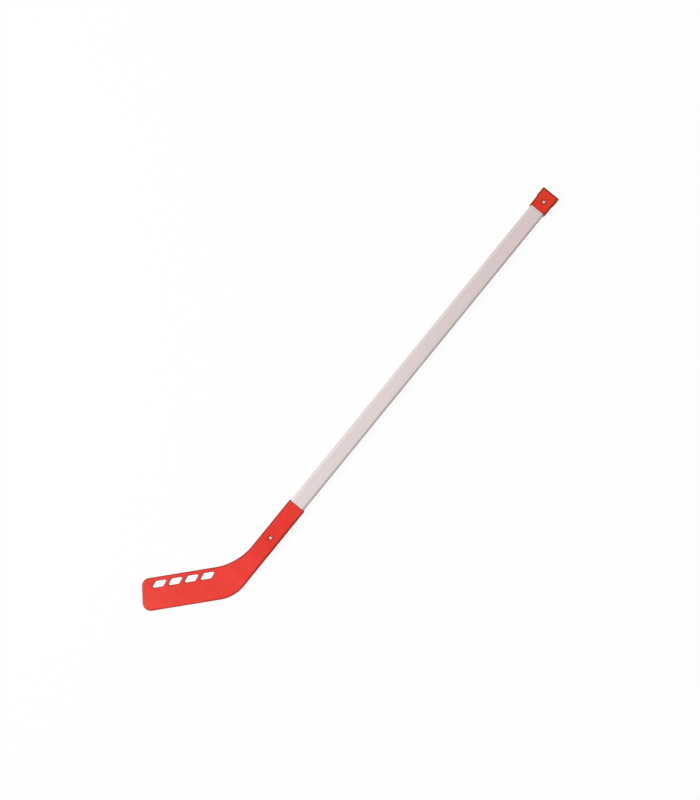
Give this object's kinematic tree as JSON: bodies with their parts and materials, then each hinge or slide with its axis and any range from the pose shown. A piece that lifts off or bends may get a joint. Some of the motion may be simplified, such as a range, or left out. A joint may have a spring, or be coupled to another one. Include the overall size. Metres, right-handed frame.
{
  "type": "roller hockey stick",
  "caption": "Flat-bladed hockey stick: slotted moulded blade with a socket riveted to a rectangular tube shaft, and a riveted butt cap.",
  "frame": {"origin": "on the hosel's flat back, on the shaft's centreline, halfway between the socket's mouth and the blade's rivets", "axes": "+X up the shaft to the butt end, +Y to the side that the toe points to, +Z out of the blade's front face"},
  "size_m": [1.0108, 0.1424, 0.0256],
  "materials": {
    "blade_plastic": "moulded red polyethylene, satin",
    "cap_plastic": "moulded red polyethylene, satin",
    "shaft_plastic": "extruded off-white ABS with a faint pink cast, satin",
    "rivet_metal": "pressed, bright",
    "mandrel_metal": "zinc plated, broken end matte"
  },
  "bodies": {
    "root": {"blade": "blade_plastic", "shaft": "shaft_plastic", "butt_cap": "cap_plastic", "blade_rivet_front": "rivet_metal", "blade_rivet_back": "rivet_metal", "cap_rivet_front": "rivet_metal", "cap_rivet_back": "rivet_metal", "blade_mandrel_front": "mandrel_metal", "blade_mandrel_back": "mandrel_metal", "cap_mandrel_front": "mandrel_metal", "cap_mandrel_back": "mandrel_metal"}
  },
  "joints": []
}
